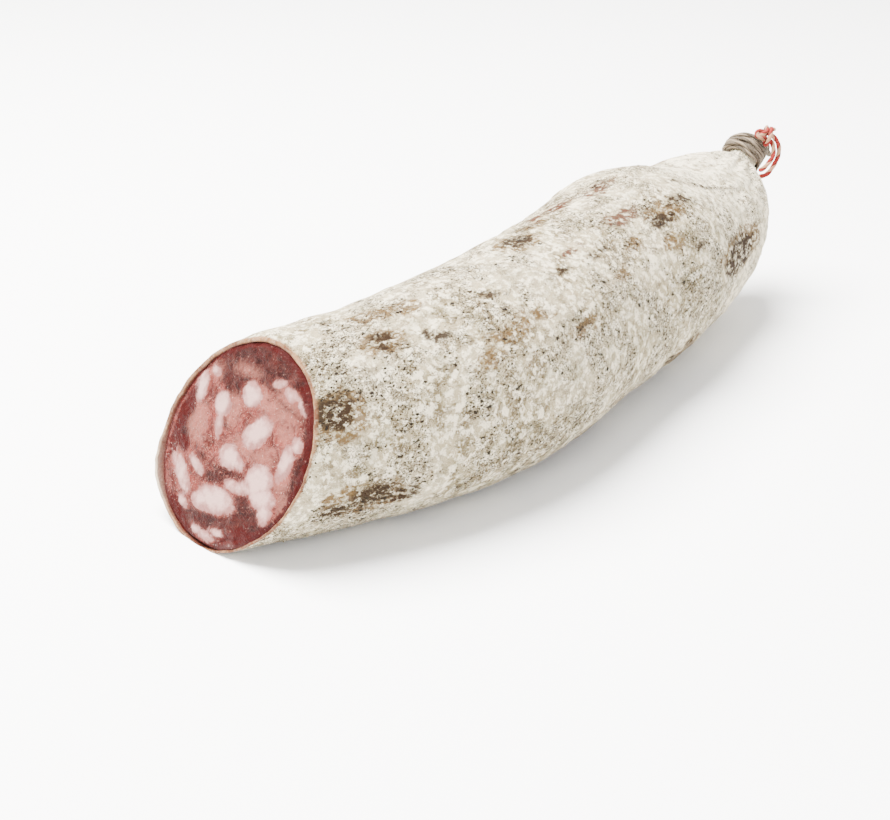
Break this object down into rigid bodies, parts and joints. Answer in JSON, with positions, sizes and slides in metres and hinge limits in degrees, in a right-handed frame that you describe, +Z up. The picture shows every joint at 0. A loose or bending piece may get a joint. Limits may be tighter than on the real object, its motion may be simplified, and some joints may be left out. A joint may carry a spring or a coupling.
{
  "type": "cured sausage",
  "caption": "Whole dry-cured sausage with a mouldy white casing, cut across at one end and tied with twine and a hanging loop at the other.",
  "frame": {"origin": "on the resting surface, under the middle of the sausage's box, without the hanging loop and its knot", "axes": "+Z up from the resting surface; +X along the sausage from the cut end to the tied end"},
  "size_m": [0.2476, 0.0748, 0.0581],
  "materials": {
    "casing": "dry powdery white mould bloom over a wrinkled natural casing, with brown patches and dark specks",
    "cured_meat": "satin cut face of coarse cured lean meat with whitish lumps of fat",
    "grey_twine": "weathered grey butcher's twine",
    "red_white_twine": "twisted red and white butcher's twine"
  },
  "bodies": {
    "root": {"casing": "casing", "filling": "cured_meat", "neck_binding": "grey_twine", "hanging_loop": "red_white_twine", "loop_knot": "red_white_twine"}
  },
  "joints": []
}
